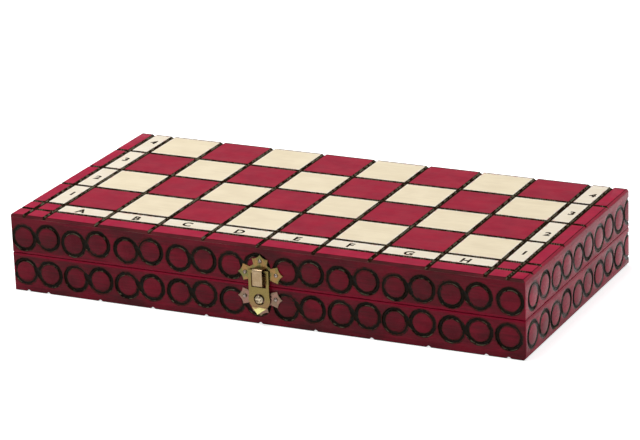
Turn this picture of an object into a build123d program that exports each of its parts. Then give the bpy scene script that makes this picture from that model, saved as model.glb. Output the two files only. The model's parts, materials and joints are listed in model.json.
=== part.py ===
"""Folding chess box, closed: two hinged wooden trays whose outsides make one chessboard.

Millimetres, +Z up. The origin is the centre of the wooden footprint, on the underside.
The front, with the latch, looks along -Y. The hinges are at the back, +Y.
"""

import os

from build123d import *

# Driving dimensions of the two trays
LENGTH = 350.0
DEPTH = 176.0
HALF_HEIGHT = 25.5
SEAM_GAP = 0.2
PANEL = 3.4
RAIL = 10.0
CORNER_RADIUS = 2.0
EDGE_CHAMFER = 1.5
RIM_CHAMFER = 0.6

# Chessboard lines, measured from the front left corner of the board. The pattern is burnt
# a little to the left and to the back of the middle, and the hinge side cuts the last rank.
LEFT_MARGIN = 7.6
FRONT_MARGIN = 15.0
SIDE_STRIP = 14.2
FRONT_STRIP = 13.7
SQUARE = 37.8
FILES = 8
RANKS_PER_HALF = 4
GROOVE_WIDTH = 1.8
GROOVE_DEPTH = 0.9
PAST = 0.3

# Burnt rings round the walls, in pairs. Each pair drifts a little from even steps, and its
# first ring sits lower than its second.
RING_RADIUS = 7.7
RING_LIFT = 0.5
FRONT_FIRST = 9.6
FRONT_PAIR_STEP = 36.75
FRONT_PAIR_GAP = 17.5
FRONT_RINGS = 19
FRONT_DRIFT = [0.0, -2.2, -1.1, -0.6, -0.8, -0.2, -0.6, -0.3, -0.6, 0.0]
SIDE_FIRST = 11.8
SIDE_PAIR_STEP = 36.5
SIDE_PAIR_GAP = 17.4
SIDE_RINGS = 10
SIDE_DRIFT = [0.0] * 5
RING_SIDES = 12
BASE_RING_HEIGHT = 13.5
LID_RING_HEIGHT = 36.5

# Linings and partitions
FELT = 1.0
SLAT = 3.0
SLAT_BELOW_RIM = 1.4
CROSS_SLATS = 3
LAP_CLEARANCE = 0.05

# Butt hinges let into the back rims
HINGE_X = 105.0
HINGE_WIDTH = 32.0
HINGE_LEAF_DEPTH = 8.5
HINGE_SHEET = 0.8
HINGE_AXIS_OUT = 0.1
KNUCKLE_RADIUS = 1.6
KNUCKLE_ROOM = 0.3
PIN_RADIUS = 0.75
PIN_PLAY = 0.04
PIN_END = 0.4
END_KNUCKLE = 10.0
KNUCKLE_PLAY = 0.15
POCKET_PLAY = 0.1
HINGE_NAIL_X = 10.5
HINGE_NAIL_IN = 5.4

# Latch: heights are above the underside, "out" is the distance in front of the wall. The
# plates are nailed on a little out of line, and the hasp hangs between them.
UPPER_PLATE_X = 1.2
UPPER_PLATE_Z = 33.4
LOWER_PLATE_X = 0.35
LOWER_PLATE_Z = 17.6
HASP_X = 0.45
LATCH_SHEET = 0.7
LOBE_NAIL_SIDE = 10.5
LOBE_NAIL_END = 8.0
LOBE_TIP_SIDE = 4.8
LOBE_TIP_END = 4.2
LOBE_SPAN = 5.4
LOBE_LEAN = 1.3
NECK_AT = 5.6
NECK_HALF = 4.5
ARM_AT = 7.2
ARM_HALF = 3.9
BODY_HALF = 6.0
BODY_REACH = 7.2
HASP_AXIS_Z = 35.0
HASP_OUT = 1.95
HASP_BAR = 2.0
HASP_HALF = 6.9
HASP_ROUND = 7.3
WINDOW_HALF = 5.0
WINDOW_BOTTOM = 24.8
DOME_Z = 17.0
DOME_RADIUS = 2.95
DOME_NECK = 2.6
DOME_OUT = 3.9
DOME_CAP = 1.9
DOME_CROWN = [(1.0, 1.0), (0.93, 0.6), (0.72, 0.28), (0.4, 0.07)]
HASP_HOLE = 3.65
TAB_TOP = 12.2
TAB_TIP_Z = 8.1
TAB_TIP_OUT = 5.0
TAB_HALF = 5.5
TONGUE_HALF = 3.3
TONGUE_TOP = 37.5
TONGUE_BOTTOM = 26.2
TONGUE_OUT = 5.6
CHEEK_TOP = 33.3

# Tacks, with eight-sided heads and square shanks
HEAD_SIDES = 8
HEAD_RADIUS = 1.35
HEAD_HEIGHT = 0.8
FLUSH_HEAD = 0.7
SHANK = 1.1
SHANK_LENGTH = 8.0
NAIL_HOLE = 0.85
SINK_PLAY = 0.06

# Worked out from the above
RIM = HALF_HEIGHT - SEAM_GAP / 2
INNER_LENGTH = LENGTH - 2 * RAIL
INNER_DEPTH = DEPTH - 2 * RAIL
FRONT = -DEPTH / 2
AXIS_Y = DEPTH / 2 + HINGE_AXIS_OUT
FELT_TOP = PANEL + FELT
SLAT_TOP = RIM - SLAT_BELOW_RIM
SEAM_PLANE = Plane.XY.offset(HALF_HEIGHT)
ON_FLOOR = (Align.CENTER, Align.CENTER, Align.MIN)


def slab(x_size, y_size, low, high, x=0.0, y=0.0):
    """A box by its plan size, its lowest and highest level and its centre."""
    return Pos(x, y, low) * Box(x_size, y_size, high - low, align=ON_FLOOR)


def tray_envelope():
    """The whole outside of one tray: rounded corners, chamfered board edge and eased rim."""
    block = slab(LENGTH, DEPTH, 0, RIM)
    block = fillet(block.edges().filter_by(Axis.Z), CORNER_RADIUS)
    block = chamfer(block.faces().sort_by(Axis.Z)[0].edges(), EDGE_CHAMFER)
    return chamfer(block.faces().sort_by(Axis.Z)[-1].edges(), RIM_CHAMFER)


def groove_half(past):
    """Half the width of a burnt groove's vee at a level past the surface."""
    return GROOVE_WIDTH / 2 * (GROOVE_DEPTH + past) / GROOVE_DEPTH


def vee():
    """Section of a straight burnt groove: a vee that opens past the surface, at y above 0."""
    half = groove_half(PAST)
    return make_face(Polyline((-half, PAST), (half, PAST), (0, -GROOVE_DEPTH), close=True))


def board_lines():
    """The two lists of groove places on the board, from its centre."""
    left = LEFT_MARGIN + SIDE_STRIP
    front = FRONT_MARGIN + FRONT_STRIP
    across = [LEFT_MARGIN] + [left + SQUARE * n for n in range(FILES + 1)]
    across.append(across[-1] + SIDE_STRIP)
    along = [FRONT_MARGIN] + [front + SQUARE * n for n in range(RANKS_PER_HALF)]
    return [x - LENGTH / 2 for x in across], [y - DEPTH / 2 for y in along]


def board(envelope):
    """The board panel of a tray, face down, with its straight grooves."""
    panel = envelope & slab(LENGTH, DEPTH, 0, PANEL)
    across, along = board_lines()
    section = vee()
    cuts = []
    for x in across:
        start = Plane(origin=(x, FRONT - 1, 0), x_dir=(1, 0, 0), z_dir=(0, 1, 0))
        cuts.append(extrude(start * section, DEPTH + 2))
    for y in along:
        start = Plane(origin=(-LENGTH / 2 - 1, y, 0), x_dir=(0, -1, 0), z_dir=(1, 0, 0))
        cuts.append(extrude(start * section, LENGTH + 2))
    return panel - cuts


def rail_blank(envelope, side):
    """One wall of a tray, mitred at 45 degrees at both ends."""
    far = LENGTH / 2 if side in ("left", "right") else DEPTH / 2
    half = DEPTH / 2 if side in ("left", "right") else LENGTH / 2
    turn = {"right": 0, "back": 90, "left": 180, "front": 270}[side]
    plan = Polyline(
        (far, -half), (far, half), (far - RAIL, half - RAIL), (far - RAIL, -half + RAIL), close=True
    )
    wedge = Pos(0, 0, PANEL) * extrude(make_face(plan), RIM - PANEL)
    return envelope & (Rot(0, 0, turn) * wedge)


def ring_places(first, pair_step, pair_gap, count, drift):
    """Distance from the end of a wall and lift of each ring's centre."""
    places = []
    for n in range(count):
        along = first + pair_step * (n // 2) + pair_gap * (n % 2) + drift[n // 2]
        places.append((along, RING_LIFT if n % 2 else -RING_LIFT))
    return places


def ring_cut():
    """A ring-shaped vee groove round Z, as the solid to take away from a wall at z = 0."""
    valley = Pos(0, 0, -GROOVE_DEPTH) * RegularPolygon(RING_RADIUS, RING_SIDES)
    outer, inner = (
        loft([Pos(0, 0, PAST) * RegularPolygon(RING_RADIUS + reach, RING_SIDES), valley], ruled=True)
        for reach in (groove_half(PAST), -groove_half(PAST))
    )
    return outer - inner


def ringed(rail, side, height, up):
    """A front or side wall with its row of burnt rings; up is -1 in the tray that is turned over."""
    if side == "front":
        places = ring_places(FRONT_FIRST, FRONT_PAIR_STEP, FRONT_PAIR_GAP, FRONT_RINGS, FRONT_DRIFT)
        centres = [(x - LENGTH / 2, FRONT, height + up * lift) for x, lift in places]
        outwards = (0, -1, 0)
    else:
        sign = 1 if side == "right" else -1
        places = ring_places(SIDE_FIRST, SIDE_PAIR_STEP, SIDE_PAIR_GAP, SIDE_RINGS, SIDE_DRIFT)
        centres = [(sign * LENGTH / 2, y + FRONT, height + up * lift) for y, lift in places]
        outwards = (sign, 0, 0)
    cut = ring_cut()
    return rail - [Plane(origin=centre, z_dir=outwards) * cut for centre in centres]


def hinge_recess():
    """Room in the lower back wall for the leaf and the knuckle of both hinges."""
    cuts = []
    for x in (-HINGE_X, HINGE_X):
        leaf_end = AXIS_Y - KNUCKLE_RADIUS - KNUCKLE_ROOM
        depth = HINGE_LEAF_DEPTH + POCKET_PLAY + AXIS_Y - leaf_end
        pocket = slab(HINGE_WIDTH + 2 * POCKET_PLAY, depth, RIM - HINGE_SHEET, RIM + 1, x)
        cuts.append(Pos(0, AXIS_Y - depth / 2, 0) * pocket)
        barrel = Cylinder(KNUCKLE_RADIUS + KNUCKLE_ROOM, HINGE_WIDTH + 2 * PIN_END + 2 * KNUCKLE_ROOM)
        cuts.append(Pos(x, AXIS_Y, HALF_HEIGHT) * Rot(0, 90, 0) * barrel)
    return cuts


def long_slat():
    """The partition along the tray, notched from the rim for the cross slats."""
    slat = slab(INNER_LENGTH, SLAT, FELT_TOP, SLAT_TOP)
    middle = (FELT_TOP + SLAT_TOP) / 2
    notch = SLAT + 2 * LAP_CLEARANCE
    return slat - [slab(notch, SLAT + 1, middle, SLAT_TOP + 1, x) for x in cross_slat_places()]


def cross_slat_places():
    """Evenly spaced places of the cross slats along the tray."""
    cell = (INNER_LENGTH - CROSS_SLATS * SLAT) / (CROSS_SLATS + 1)
    return [(cell + SLAT) * (n + 1) - SLAT / 2 - INNER_LENGTH / 2 for n in range(CROSS_SLATS)]


def cross_slat(x):
    """One partition across the tray, notched from the felt to ride over the long slat."""
    middle = (FELT_TOP + SLAT_TOP) / 2
    notch = slab(SLAT + 1, SLAT + 2 * LAP_CLEARANCE, FELT_TOP - 1, middle, x)
    return slab(SLAT, INNER_DEPTH, FELT_TOP, SLAT_TOP, x) - notch


def tray(prefix, ring_height, up):
    """All wooden and felt pieces of one tray, board side down, by node name."""
    envelope = tray_envelope()
    pieces = {prefix + "_board": board(envelope)}
    for side in ("front", "right", "left"):
        pieces[f"{prefix}_{side}_rail"] = ringed(rail_blank(envelope, side), side, ring_height, up)
    pieces[prefix + "_back_rail"] = rail_blank(envelope, "back") - hinge_recess()
    pieces[prefix + "_felt"] = slab(INNER_LENGTH, INNER_DEPTH, PANEL, FELT_TOP)
    pieces[prefix + "_long_slat"] = long_slat()
    for number, x in enumerate(cross_slat_places(), 1):
        pieces[f"{prefix}_cross_slat_{number}"] = cross_slat(x)
    return pieces


def knuckle(x_low, x_high):
    """A hinge knuckle with its bore, along X on the hinge axis."""
    tube = Cylinder(KNUCKLE_RADIUS, x_high - x_low)
    return Pos((x_low + x_high) / 2, AXIS_Y, HALF_HEIGHT) * Rot(0, 90, 0) * tube


def hinge_leaf(x, knuckles):
    """A lower hinge leaf at x: sheet on the rim, rolled knuckles at the given stretches."""
    y_plate = AXIS_Y - KNUCKLE_RADIUS - KNUCKLE_ROOM
    low = RIM - HINGE_SHEET
    sheet = slab(HINGE_WIDTH, HINGE_LEAF_DEPTH, low, RIM, x, y_plate - HINGE_LEAF_DEPTH / 2)
    for x_low, x_high in knuckles:
        reach = slab(x_high - x_low, AXIS_Y - y_plate, low, RIM, x + (x_low + x_high) / 2)
        sheet += Pos(0, (AXIS_Y + y_plate) / 2, 0) * reach
        sheet += knuckle(x + x_low, x + x_high)
    bore = Cylinder(PIN_RADIUS + PIN_PLAY, HINGE_WIDTH + 1)
    sheet -= Pos(x, AXIS_Y, HALF_HEIGHT) * Rot(0, 90, 0) * bore
    sink = extrude(RegularPolygon(HEAD_RADIUS + SINK_PLAY, HEAD_SIDES), HINGE_SHEET + 1)
    return sheet - [Pos(*place, low - 0.5) * sink for place in hinge_nail_places(x)]


def hinge_nail_places(x):
    """Plan places of the two nails of one leaf."""
    return [(x + side * HINGE_NAIL_X, AXIS_Y - HINGE_NAIL_IN) for side in (-1, 1)]


def hinge_pin(x):
    """The pin of one hinge, standing a little out of the end knuckles."""
    return Pos(x, AXIS_Y, HALF_HEIGHT) * Rot(0, 90, 0) * Cylinder(PIN_RADIUS, HINGE_WIDTH + 2 * PIN_END)


def tack(head_height, taper):
    """A tack standing on its head's underside at z = 0, shank down."""
    outline = RegularPolygon(HEAD_RADIUS, HEAD_SIDES)
    head = extrude(outline, head_height, taper=taper)
    shank = Pos(0, 0, -SHANK_LENGTH) * extrude(Rectangle(SHANK, SHANK), SHANK_LENGTH)
    return head + shank


def hinge_nails():
    """The four nails of the two lower leaves, heads flush with the leaves."""
    places = hinge_nail_places(-HINGE_X) + hinge_nail_places(HINGE_X)
    flush = tack(FLUSH_HEAD, 0)
    return Compound([Pos(*place, RIM - FLUSH_HEAD) * flush for place in places])


def on_wall(x, height):
    """A plane on the front wall: x to the right, y up, z out of the wall."""
    return Plane(origin=(x, FRONT, height), x_dir=(1, 0, 0), z_dir=(0, -1, 0))


def lobe_half(reach, tip, neck_at, neck_half):
    """Half outline of a three-pointed lobe along +x: neck, shoulder, a point of the hollow, tip."""
    shoulder = (reach + LOBE_LEAN, LOBE_SPAN)
    hollow = (reach + 0.55 * tip, 0.36 * LOBE_SPAN)
    return (neck_at, neck_half), shoulder, hollow, (reach + tip, 0)


def half_plate():
    """Right half of a latch plate's outline, as edges from the top tip down to the lower edge."""
    neck, *point = [(y, x) for x, y in lobe_half(LOBE_NAIL_END, LOBE_TIP_END, NECK_AT, NECK_HALF)]
    edges = ThreePointArc(*point) + Line(point[0], neck) + Line(neck, (ARM_AT, ARM_HALF))
    for flip in (1, -1):
        lobe = lobe_half(LOBE_NAIL_SIDE, LOBE_TIP_SIDE, ARM_AT, ARM_HALF)
        arm, *point = [(x, flip * y) for x, y in lobe]
        edges += Line(arm, point[0]) + ThreePointArc(*point)
    return edges + Polyline(arm, (BODY_HALF, arm[1]), (BODY_HALF, -BODY_REACH), (0, -BODY_REACH))


def star_plate():
    """A latch plate in its own plane: two side lobes, an end lobe up and a short body down."""
    right = half_plate()
    outline = make_face(right + mirror(right, Plane.YZ))
    hole = RegularPolygon(NAIL_HOLE, HEAD_SIDES)
    return outline - [Pos(*place) * hole for place in plate_nail_places()]


def plate_nail_places():
    """Places of the three nails in a plate's own plane."""
    return [(-LOBE_NAIL_SIDE, 0), (LOBE_NAIL_SIDE, 0), (0, LOBE_NAIL_END)]


def plate_nails(plane):
    """The three tacks of a plate, their heads standing on it."""
    raised = tack(HEAD_HEIGHT, 20)
    return Compound([plane * Pos(*place, LATCH_SHEET) * raised for place in plate_nail_places()])


def side_plane(x):
    """A plane seen from the latch's right side: x out of the wall, y up, z across the latch."""
    return Plane(origin=(x, FRONT, 0), x_dir=(0, -1, 0), z_dir=(-1, 0, 0))


def upper_plate():
    """The upper plate with the tongue pressed out of it; the hasp's bar turns above its cheeks."""
    plate = on_wall(UPPER_PLATE_X, UPPER_PLATE_Z) * extrude(star_plate(), LATCH_SHEET)
    slot_low, slot_high = TONGUE_BOTTOM + LATCH_SHEET, TONGUE_TOP - LATCH_SHEET
    slot = Rectangle(2 * TONGUE_HALF, slot_high - slot_low)
    plate -= on_wall(UPPER_PLATE_X, (slot_low + slot_high) / 2) * extrude(slot, 2 * LATCH_SHEET)
    outer = Pos(TONGUE_OUT / 2, (TONGUE_TOP + TONGUE_BOTTOM) / 2) * RectangleRounded(
        TONGUE_OUT, TONGUE_TOP - TONGUE_BOTTOM, 2 * LATCH_SHEET
    )
    room_out = TONGUE_OUT - LATCH_SHEET
    room = Pos(room_out / 2, (slot_low + slot_high) / 2) * Rectangle(room_out, slot_high - slot_low)
    plate += side_plane(UPPER_PLATE_X + TONGUE_HALF) * extrude(outer - room, 2 * TONGUE_HALF)
    cheek_height = CHEEK_TOP - TONGUE_BOTTOM
    below = Pos(TONGUE_OUT / 2, TONGUE_BOTTOM + cheek_height / 2) * Rectangle(TONGUE_OUT, cheek_height)
    cheek = extrude(outer & below, LATCH_SHEET)
    for x in (TONGUE_HALF, LATCH_SHEET - TONGUE_HALF):
        plate += side_plane(UPPER_PLATE_X + x) * cheek
    return plate


def lower_plate():
    """The lower plate, the upper one turned over, with the dome that the hasp snaps on."""
    down = Plane(origin=(LOWER_PLATE_X, FRONT, LOWER_PLATE_Z), x_dir=(-1, 0, 0), z_dir=(0, -1, 0))
    plate = down * extrude(star_plate(), LATCH_SHEET)
    crown = [(out * DOME_RADIUS, DOME_OUT - drop * DOME_CAP) for out, drop in DOME_CROWN]
    foot = LATCH_SHEET / 2
    stem = [(0, DOME_OUT), (0, foot), (DOME_NECK, foot), (DOME_NECK, DOME_OUT - DOME_CAP)]
    dome = revolve(Plane.XZ * make_face(Polyline(*stem, *crown, close=True)), Axis.Z)
    return plate + on_wall(HASP_X, DOME_Z) * dome, down


def hasp():
    """The swinging hasp: frame, round body with a hole, and a finger tab bent outwards."""
    top = HASP_AXIS_Z + HASP_BAR / 2
    room = HASP_AXIS_Z - HASP_BAR / 2
    frame = Pos(0, (top + DOME_Z) / 2) * Rectangle(2 * HASP_HALF, top - DOME_Z)
    tab = make_face(Polyline((-TAB_HALF, TAB_TOP), (TAB_HALF, TAB_TOP), (0, TAB_TIP_Z), close=True))
    window = Pos(0, (room + WINDOW_BOTTOM) / 2) * Rectangle(2 * WINDOW_HALF, room - WINDOW_BOTTOM)
    outline = frame + Pos(0, DOME_Z) * Circle(HASP_ROUND) + tab - window
    outline -= Pos(0, DOME_Z) * Circle(HASP_HOLE)
    path = FilletPolyline(
        (HASP_OUT, top), (HASP_OUT, TAB_TOP), (TAB_TIP_OUT, TAB_TIP_Z), radius=2.0
    )
    section = make_face(offset(path, LATCH_SHEET / 2, side=Side.BOTH, closed=True))
    strip = side_plane(HASP_X + HASP_ROUND + 1) * extrude(section, 2 * (HASP_ROUND + 1))
    return strip & (on_wall(HASP_X, 0) * extrude(outline, 2 * TAB_TIP_OUT))


def latch():
    """All pieces of the latch, by node name."""
    lower, lower_plane = lower_plate()
    return {
        "latch_upper_plate": upper_plate(),
        "latch_upper_nails": plate_nails(on_wall(UPPER_PLATE_X, UPPER_PLATE_Z)),
        "latch_lower_plate": lower,
        "latch_lower_nails": plate_nails(lower_plane),
        "latch_hasp": hasp(),
    }


def hinges():
    """Both hinges and their nails: the lower leaf has the two end knuckles."""
    half = HINGE_WIDTH / 2
    inner = half - END_KNUCKLE
    ends = [(-half, -inner), (inner, half)]
    centre = [(-inner + KNUCKLE_PLAY, inner - KNUCKLE_PLAY)]
    pieces = {}
    for name, x in (("left", -HINGE_X), ("right", HINGE_X)):
        pieces[name + "_hinge_base_leaf"] = hinge_leaf(x, ends)
        pieces[name + "_hinge_lid_leaf"] = hinge_leaf(x, centre).mirror(SEAM_PLANE)
        pieces[name + "_hinge_pin"] = hinge_pin(x)
    pieces["base_hinge_nails"] = hinge_nails()
    pieces["lid_hinge_nails"] = hinge_nails().mirror(SEAM_PLANE)
    return pieces


def main():
    """Build every piece and write one STEP file for each."""
    pieces = tray("base", BASE_RING_HEIGHT, 1)
    turned = tray("lid", 2 * HALF_HEIGHT - LID_RING_HEIGHT, -1)
    pieces |= {name: piece.mirror(SEAM_PLANE) for name, piece in turned.items()}
    pieces |= hinges()
    pieces |= latch()
    os.makedirs("parts", exist_ok=True)
    for name, piece in pieces.items():
        export_step(piece, f"parts/{name}.step")


main()
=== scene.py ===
"""Looks of a folding chess box: two lacquered trays, burnt ornament, felt lining and a brass latch.

Sizes and places are in millimetres, in the box's own frame: +Z up, the latch towards -Y and
the hinges towards +Y. A Piece turns them into metres. The lower tray stands with its board
down; the lid is the same tray turned over, so heights inside a tray are counted from the
tray's own board face.
"""

import json
import logging
import math
from collections.abc import Callable, Iterable
from dataclasses import dataclass, field
from enum import Enum

import bmesh
import bpy
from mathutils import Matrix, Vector

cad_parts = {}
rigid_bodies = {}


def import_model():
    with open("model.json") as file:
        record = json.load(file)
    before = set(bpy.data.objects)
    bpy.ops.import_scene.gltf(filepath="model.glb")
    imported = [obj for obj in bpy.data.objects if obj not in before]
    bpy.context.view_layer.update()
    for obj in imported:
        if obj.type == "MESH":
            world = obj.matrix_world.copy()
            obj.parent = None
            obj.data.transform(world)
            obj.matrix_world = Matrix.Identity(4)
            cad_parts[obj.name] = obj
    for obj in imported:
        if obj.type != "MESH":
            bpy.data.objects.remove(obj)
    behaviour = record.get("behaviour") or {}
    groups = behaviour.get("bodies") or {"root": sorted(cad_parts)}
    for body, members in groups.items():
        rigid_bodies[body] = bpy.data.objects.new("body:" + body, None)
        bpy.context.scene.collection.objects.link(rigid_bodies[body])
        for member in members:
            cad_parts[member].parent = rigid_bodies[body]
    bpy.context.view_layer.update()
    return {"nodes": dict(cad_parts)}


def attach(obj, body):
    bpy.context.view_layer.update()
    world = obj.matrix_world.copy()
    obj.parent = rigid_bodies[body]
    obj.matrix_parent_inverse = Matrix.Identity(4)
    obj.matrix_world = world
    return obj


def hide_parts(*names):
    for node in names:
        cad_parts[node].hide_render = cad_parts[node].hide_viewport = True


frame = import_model()

MM = 0.001
LENGTH, DEPTH, HEIGHT = 350.0, 176.0, 51.0
PANEL, RIM, RAIL = 3.4, 25.4, 10.0
LATCH_SHEET = 0.7
RIM_BAND = 0.6
CORNER_STEPS = 6
FACING = 0.9
LYING = 0.1
WELD = 0.002
SAME_PLACE = 0.01
log = logging.getLogger("chess_box")

Material = bpy.types.Material
Socket = bpy.types.NodeSocket
Colour = tuple[float, float, float]
Point = tuple[float, float, float]
Spot = tuple[float, float]
Tool = Callable[..., object]
Test = Callable[[Vector, Vector], bool]
Choice = Callable[[Vector, Vector], Material | None]


def metres(lengths: Iterable[float]) -> list[float]:
    """Lengths in metres, from millimetres."""
    return [length * MM for length in lengths]


def radians(turns: Iterable[float]) -> list[float]:
    """Turns in radians, from degrees."""
    return [math.radians(turn) for turn in turns]


def every(middle: Vector, direction: Vector) -> bool:
    """The test that every part of a mesh passes."""
    return True


def upright(middle: Vector, run: Vector) -> bool:
    """The test that upright edges pass."""
    return abs(run.z) > FACING


class Half(Enum):
    """The two trays of the box."""

    BASE = "base"
    LID = "lid"

    @property
    def body(self) -> str:
        """The moving body that this tray's pieces ride on."""
        return f"{self.value}_box"

    @property
    def outwards(self) -> int:
        """Which way along Z the tray's board looks."""
        return -1 if self is Half.BASE else 1

    def level(self, height: float) -> float:
        """Z of a height counted from the tray's own board face."""
        return height if self is Half.BASE else HEIGHT - height


class Wall(Enum):
    """The walls of a tray that carry rings, with the way that each one looks."""

    FRONT = (0, -1)
    LEFT = (-1, 0)
    RIGHT = (1, 0)


class Piece:
    """One solid on the bench, worked with the usual modelling tools."""

    def __init__(self, solid: bpy.types.Object) -> None:
        """Take up a solid that is already there."""
        self.solid = solid

    @staticmethod
    def clear() -> None:
        """Put every tool down: nothing selected, nothing in edit mode."""
        if bpy.context.mode != "OBJECT":
            bpy.ops.object.mode_set(mode="OBJECT")
        bpy.ops.object.select_all(action="DESELECT")

    @classmethod
    def taken(cls, name: str) -> "Piece":
        """Take up the object just added, with its place and size put into its mesh.

        Args:
            name: The piece's name.

        Returns:
            The piece.
        """
        solid = bpy.context.object
        solid.name = solid.data.name = name
        bpy.ops.object.transform_apply(location=True, rotation=True, scale=True)
        return cls(solid)

    @classmethod
    def start(cls, name: str, tool: Tool, **settings: object) -> "Piece":
        """Start a piece from a primitive.

        Args:
            name: The piece's name.
            tool: The operator that adds the primitive.
            settings: The operator's settings.

        Returns:
            The piece.
        """
        cls.clear()
        tool(**settings)
        return cls.taken(name)

    @classmethod
    def block(cls, name: str, low: Point, high: Point) -> "Piece":
        """A rectangular block between two opposite corners."""
        middle, size = zip(*(((a + b) / 2, abs(b - a)) for a, b in zip(low, high)))
        return cls.start(name, bpy.ops.mesh.primitive_cube_add, size=1, location=metres(middle),
                         scale=metres(size))

    @classmethod
    def tube(cls, name: str, radius: float, length: float, turn: Point) -> "Piece":
        """An open twelve-sided tube round the origin, upright before its turn in degrees."""
        return cls.start(name, bpy.ops.mesh.primitive_cylinder_add, vertices=12, radius=radius * MM,
                         depth=length * MM, end_fill_type="NOTHING", rotation=radians(turn))

    @classmethod
    def hoop(cls, name: str, radius: float, thickness: float, turn: Point) -> "Piece":
        """A round hoop at the origin, lying flat before its turn in degrees."""
        return cls.start(name, bpy.ops.mesh.primitive_torus_add, major_radius=radius * MM,
                         minor_radius=thickness / 2 * MM, major_segments=56, minor_segments=14,
                         rotation=radians(turn))

    @classmethod
    def ball(cls, name: str, radii: Point, turn: Point) -> "Piece":
        """A ball at the origin, drawn out along its axes and then turned, in degrees."""
        return cls.start(name, bpy.ops.mesh.primitive_uv_sphere_add, segments=24, ring_count=16,
                         radius=1, scale=metres(radii), rotation=radians(turn))

    @classmethod
    def mark(cls, name: str, letter: str, size: float, bold: float, sink: float, turn: Point) -> "Piece":
        """A letter or digit as a stamp round the origin.

        Args:
            name: The piece's name.
            letter: The letter or digit.
            size: The type size.
            bold: How far its strokes are thickened each side.
            sink: How far it reaches each side of its plane.
            turn: Its turn in degrees, from lying face up.

        Returns:
            The stamp.
        """
        cls.clear()
        bpy.ops.object.text_add(rotation=radians(turn))
        words = bpy.context.object.data
        words.body = letter
        words.size, words.extrude, words.offset = metres((size, sink, bold))
        words.resolution_u = 2 if letter == "B" else 3
        words.align_x, words.align_y = "CENTER", "CENTER"
        bpy.ops.object.convert(target="MESH")
        stamp = cls.taken(name)
        stamp.weld()
        return stamp

    @classmethod
    def copied(cls, name: str, node: str) -> "Piece":
        """A copy of one of the frame's own pieces, merged and with its flat faces made whole.

        Args:
            name: The copy's name.
            node: The frame's node.

        Returns:
            The copy, ready to be worked.
        """
        cls.clear()
        model = frame["nodes"][node]
        copy = bpy.data.objects.new(name, model.data.copy())
        copy.data.materials.clear()
        bpy.context.scene.collection.objects.link(copy)
        copy.matrix_world = model.matrix_world
        piece = cls(copy)
        piece.hold()
        bpy.ops.object.transform_apply(location=True, rotation=True, scale=True)
        piece.weld()
        piece.work(bpy.ops.mesh.dissolve_limited, "FACE", angle_limit=math.radians(1.0))
        return piece

    def hold(self) -> None:
        """Select this piece alone and make it the active one."""
        self.clear()
        self.solid.select_set(True)
        bpy.context.view_layer.objects.active = self.solid

    def pick(self, kind: str, test: Test = every) -> None:
        """Go into edit mode with the parts that pass a test selected.

        Args:
            kind: VERT, EDGE or FACE.
            test: Gets the part's middle in millimetres and its direction, which is the
                normal of a face or vertex and the run of an edge.
        """
        self.hold()
        bpy.ops.object.mode_set(mode="EDIT")
        bpy.ops.mesh.select_mode(type=kind)
        bpy.ops.mesh.select_all(action="DESELECT")
        form = bmesh.from_edit_mesh(self.solid.data)
        if kind == "FACE":
            parts = [(face, face.calc_center_median(), face.normal) for face in form.faces]
        elif kind == "EDGE":
            parts = [
                (edge, (edge.verts[0].co + edge.verts[1].co) / 2,
                 (edge.verts[1].co - edge.verts[0].co).normalized())
                for edge in form.edges
            ]
        else:
            parts = [(vert, vert.co, vert.normal) for vert in form.verts]
        for part, middle, direction in parts:
            part.select_set(test(middle / MM, direction))
        form.select_flush_mode()
        bmesh.update_edit_mesh(self.solid.data)

    def work(self, tool: Tool, kind: str = "VERT", test: Test = every, **settings: object) -> None:
        """Use a tool of edit mode.

        Args:
            tool: The operator.
            kind: The kind of parts that it works on: VERT, EDGE or FACE.
            test: The parts that it works on.
            settings: The operator's settings.
        """
        self.pick(kind, test)
        tool(**settings)
        self.clear()

    def bevel(self, test: Test, width: float, segments: int = 1) -> None:
        """Bevel the edges that pass the test."""
        self.work(bpy.ops.mesh.bevel, "EDGE", test, offset=width * MM, segments=segments, profile=0.5,
                  affect="EDGES")

    def slice(self, point: Point, way: Point) -> None:
        """Saw the piece through a point, drop the side that lies that way and close the cut."""
        self.work(bpy.ops.mesh.bisect, "FACE", plane_co=metres(point), plane_no=way, use_fill=True,
                  clear_outer=True, threshold=WELD * MM)

    def move(self, by: Point) -> None:
        """Move the whole mesh."""
        self.work(bpy.ops.transform.translate, value=metres(by))

    def tilt(self, degrees: float, axis: str) -> None:
        """Turn the whole mesh about X, Y or Z through the origin."""
        self.work(bpy.ops.transform.rotate, value=math.radians(degrees), orient_axis=axis,
                  center_override=(0, 0, 0))

    def flatten(self, share: Point) -> None:
        """Scale the whole mesh about the origin."""
        self.work(bpy.ops.transform.resize, value=share, center_override=(0, 0, 0))

    def ease(self, width: float, sharper: float = 32.0) -> None:
        """Round off every edge that is sharper than that many degrees."""
        self.modify("BEVEL", width=width * MM, segments=2, limit_method="ANGLE",
                    angle_limit=math.radians(sharper))

    def weld(self) -> None:
        """Merge doubles and turn every face outwards."""
        self.work(bpy.ops.mesh.remove_doubles, threshold=WELD * MM)
        self.work(bpy.ops.mesh.normals_make_consistent, inside=False)

    def cap(self) -> None:
        """Close the open ends of a tube and turn its faces outwards."""
        self.pick("VERT", lambda middle, normal: False)
        bpy.ops.mesh.select_mode(type="EDGE")
        bpy.ops.mesh.select_non_manifold()
        bpy.ops.mesh.edge_face_add()
        bpy.ops.mesh.select_all(action="SELECT")
        bpy.ops.mesh.normals_make_consistent(inside=False)
        self.clear()

    def modify(self, kind: str, **settings: object) -> None:
        """Add a modifier and apply it.

        Args:
            kind: The modifier's type.
            settings: Its settings.
        """
        self.hold()
        step = self.solid.modifiers.new(kind.lower(), kind)
        for key, value in settings.items():
            setattr(step, key, value)
        bpy.ops.object.modifier_apply(modifier=step.name)

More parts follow.
